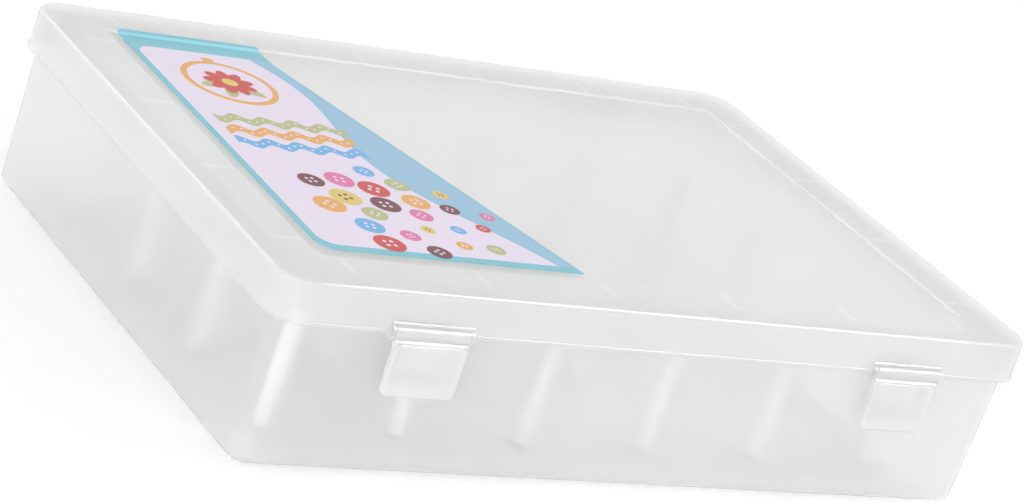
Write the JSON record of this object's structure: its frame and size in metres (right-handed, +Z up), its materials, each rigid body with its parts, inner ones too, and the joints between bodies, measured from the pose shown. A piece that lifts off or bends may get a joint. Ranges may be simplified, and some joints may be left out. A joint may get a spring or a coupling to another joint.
{
  "type": "embroidery thread box",
  "caption": "Flat frosted plastic box with a hinged lid, snap latches on the front and upright pegs inside that hold embroidery thread spools.",
  "frame": {"origin": "middle of the foot's underside, on the table", "axes": "+X along the front to the right, +Y from the front to the hinges, +Z up"},
  "size_m": [0.295, 0.2155, 0.0649],
  "materials": {
    "tray_plastic": "frosted translucent",
    "lid_plastic": "frosted translucent",
    "latch_plastic": "frosted translucent",
    "peg_plastic": "natural white, satin",
    "pin_steel": "drawn wire",
    "label_print": "coated, printed"
  },
  "bodies": {
    "tray": {"base_tray": "tray_plastic", "hinge_pin_left": "pin_steel", "hinge_pin_right": "pin_steel", "spool_peg_1_1": "peg_plastic", "spool_peg_1_2": "peg_plastic", "spool_peg_1_3": "peg_plastic", "spool_peg_1_4": "peg_plastic", "spool_peg_1_5": "peg_plastic", "spool_peg_1_6": "peg_plastic", "spool_peg_2_1": "peg_plastic", "spool_peg_2_2": "peg_plastic", "spool_peg_2_3": "peg_plastic", "spool_peg_2_4": "peg_plastic", "spool_peg_2_5": "peg_plastic", "spool_peg_2_6": "peg_plastic", "spool_peg_3_1": "peg_plastic", "spool_peg_3_2": "peg_plastic", "spool_peg_3_3": "peg_plastic", "spool_peg_3_4": "peg_plastic", "spool_peg_3_5": "peg_plastic", "spool_peg_3_6": "peg_plastic", "spool_peg_4_1": "peg_plastic", "spool_peg_4_2": "peg_plastic", "spool_peg_4_3": "peg_plastic", "spool_peg_4_4": "peg_plastic", "spool_peg_4_5": "peg_plastic", "spool_peg_4_6": "peg_plastic"},
    "lid": {"lid": "lid_plastic", "label_card": "label_print"},
    "latch_left": {"latch_left": "latch_plastic"},
    "latch_right": {"latch_right": "latch_plastic"}
  },
  "joints": [
    {"name": "lid_hinge", "type": "hinge", "parent": "tray", "child": "lid", "pos_m": [0, 0.10612, 0.0506], "axis": [-1, 0, 0], "range_deg": [0, 180]},
    {"name": "latch_left_pivot", "type": "hinge", "parent": "lid", "child": "latch_left", "pos_m": [-0.0934, -0.10282, 0.0512], "axis": [-1, 0, 0], "range_deg": [0, 110]},
    {"name": "latch_right_pivot", "type": "hinge", "parent": "lid", "child": "latch_right", "pos_m": [0.0934, -0.10282, 0.0512], "axis": [-1, 0, 0], "range_deg": [0, 110]}
  ]
}
